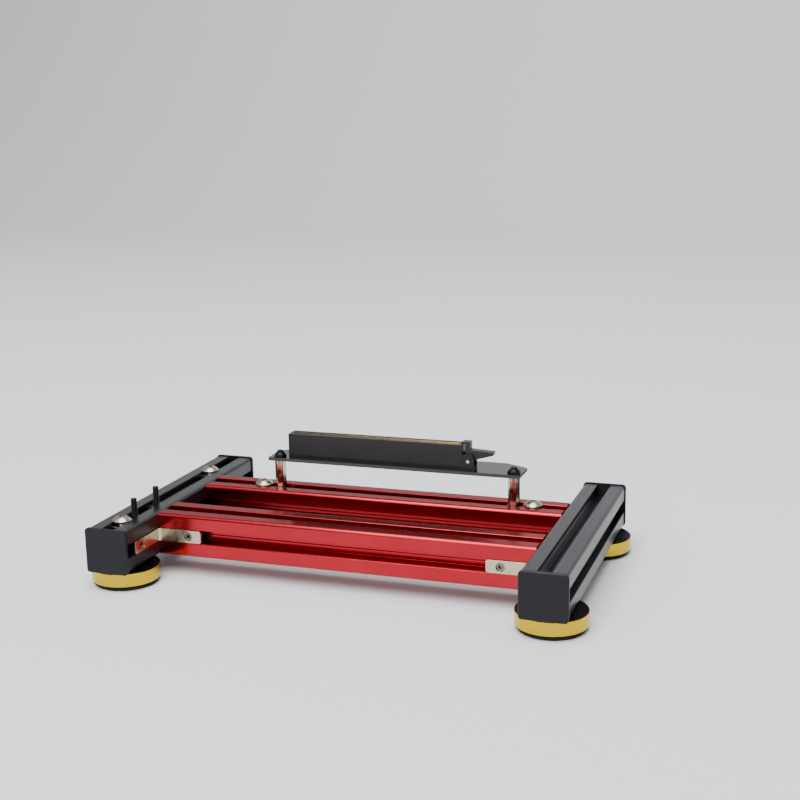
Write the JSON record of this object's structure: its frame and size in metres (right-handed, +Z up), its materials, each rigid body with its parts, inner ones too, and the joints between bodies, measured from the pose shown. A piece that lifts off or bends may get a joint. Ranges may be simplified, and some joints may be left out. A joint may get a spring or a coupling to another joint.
{
  "type": "graphics card support bracket",
  "caption": "Open stand of slotted profiles on round feet, with a riser socket board on standoffs that holds a graphics card upright.",
  "frame": {"origin": "middle of the stand's footprint, on the surface under the feet", "axes": "+X to the right along the crossbars, +Y to the rear along the rails, +Z up; the front faces -Y"},
  "size_m": [0.2312, 0.1332, 0.0566],
  "materials": {
    "black_anodised": "satin black anodised extrusion",
    "red_anodised": "bright red anodised extrusion",
    "cap_plastic": "fine-grained moulded plastic",
    "foot_black": "moulded plastic",
    "gold_anodised": "turned and anodised gold",
    "pad_rubber": "soft foam rubber",
    "nickel_cast": "die-cast and nickel plated",
    "nickel_screw": "nickel plated",
    "nickel_turned": "turned and nickel plated",
    "black_steel": "blackened",
    "board": "black solder mask",
    "socket_plastic": "moulded plastic",
    "latch_plastic": "moulded plastic"
  },
  "bodies": {
    "stand": {"left_rail": "black_anodised", "right_rail": "black_anodised", "front_crossbar": "red_anodised", "rear_crossbar": "red_anodised", "cap_front_left": "cap_plastic", "cap_front_right": "cap_plastic", "cap_rear_left": "cap_plastic", "cap_rear_right": "cap_plastic", "foot_front_left": "foot_black", "foot_front_right": "foot_black", "foot_rear_left": "foot_black", "foot_rear_right": "foot_black", "ring_front_left": "gold_anodised", "ring_front_right": "gold_anodised", "ring_rear_left": "gold_anodised", "ring_rear_right": "gold_anodised", "pad_front_left": "pad_rubber", "pad_front_right": "pad_rubber", "pad_rear_left": "pad_rubber", "pad_rear_right": "pad_rubber", "foot_screws": "nickel_screw", "foot_nuts": "nickel_turned", "connector_front_left": "nickel_cast", "connector_front_right": "nickel_cast", "connector_rear_left": "nickel_cast", "connector_rear_right": "nickel_cast", "set_screws": "nickel_screw", "slot_screws": "nickel_screw", "screw_nuts": "nickel_turned", "guide_stud_front": "black_steel", "guide_stud_rear": "black_steel", "stud_nuts": "black_steel", "standoff_left": "nickel_turned", "standoff_right": "nickel_turned", "standoff_nuts": "nickel_turned", "board_studs": "black_steel", "board_nuts": "black_steel", "riser_board": "board", "card_socket": "socket_plastic", "latch_pin": "nickel_turned"},
    "latch": {"socket_latch": "latch_plastic"}
  },
  "joints": [
    {"name": "latch_swing", "type": "hinge", "parent": "stand", "child": "latch", "pos_m": [0.0425, 0.0278, 0.0474], "axis": [0, 1, 0], "range_deg": [0, 20]}
  ]
}
